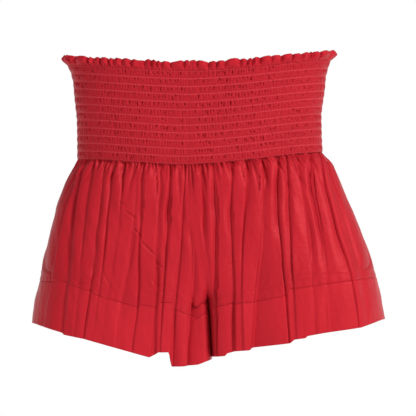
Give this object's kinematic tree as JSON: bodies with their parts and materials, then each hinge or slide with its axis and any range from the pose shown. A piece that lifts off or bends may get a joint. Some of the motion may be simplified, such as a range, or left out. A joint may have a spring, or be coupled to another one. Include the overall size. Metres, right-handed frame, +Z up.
{
  "type": "pull-on shorts",
  "caption": "Silky pull-on shorts with a deep shirred elastic waistband, ruffled heading, gathered flared legs, side pockets and deep hem bands.",
  "frame": {"origin": "centre of the waist opening, level with the first elastic row at the side of the waist", "axes": "+Z up along the waist axis, -Y towards the front, +X towards the left side of the wearer"},
  "size_m": [0.425, 0.164, 0.3722],
  "materials": {
    "silk": "satin",
    "shirred_silk": "satin, puckered",
    "pocket_silk": "satin",
    "shirring_elastic": "matte",
    "overlock_thread": "matte",
    "label_tape": "matte"
  },
  "bodies": {
    "hips": {"care_label": "label_tape", "elastic_row_01": "shirring_elastic", "elastic_row_02": "shirring_elastic", "elastic_row_03": "shirring_elastic", "elastic_row_04": "shirring_elastic", "elastic_row_05": "shirring_elastic", "elastic_row_06": "shirring_elastic", "elastic_row_07": "shirring_elastic", "elastic_row_08": "shirring_elastic", "elastic_row_09": "shirring_elastic", "elastic_row_10": "shirring_elastic", "elastic_row_11": "shirring_elastic", "elastic_row_12": "shirring_elastic", "elastic_row_13": "shirring_elastic", "heading_ruffle_back_left": "shirred_silk", "heading_ruffle_back_right": "shirred_silk", "heading_ruffle_front_left": "shirred_silk", "heading_ruffle_front_right": "shirred_silk", "hip_panel_back_left": "silk", "hip_panel_back_right": "silk", "hip_panel_front_left": "silk", "hip_panel_front_right": "silk", "pocket_facing_left": "pocket_silk", "pocket_facing_right": "pocket_silk", "rise_seam": "overlock_thread", "shirred_waist_back_left": "shirred_silk", "shirred_waist_back_right": "shirred_silk", "shirred_waist_front_left": "shirred_silk", "shirred_waist_front_right": "shirred_silk", "side_seam_hip_left": "overlock_thread", "side_seam_hip_right": "overlock_thread"},
    "leg_left": {"hem_band_back_left": "silk", "hem_band_front_left": "silk", "hem_stitch_left": "overlock_thread", "inseam_left": "overlock_thread", "leg_panel_back_left": "silk", "leg_panel_front_left": "silk", "pocket_bag_back_left": "pocket_silk", "pocket_bag_front_left": "pocket_silk", "side_seam_leg_left": "overlock_thread"},
    "leg_right": {"hem_band_back_right": "silk", "hem_band_front_right": "silk", "hem_stitch_right": "overlock_thread", "inseam_right": "overlock_thread", "leg_panel_back_right": "silk", "leg_panel_front_right": "silk", "pocket_bag_back_right": "pocket_silk", "pocket_bag_front_right": "pocket_silk", "side_seam_leg_right": "overlock_thread"}
  },
  "joints": [
    {"name": "leg_left_swing", "type": "hinge", "parent": "hips", "child": "leg_left", "pos_m": [0.106, 0, -0.15], "axis": [1, 0, 0], "range_deg": [-25, 25]},
    {"name": "leg_right_swing", "type": "hinge", "parent": "hips", "child": "leg_right", "pos_m": [-0.106, 0, -0.15], "axis": [1, 0, 0], "range_deg": [-25, 25]}
  ]
}
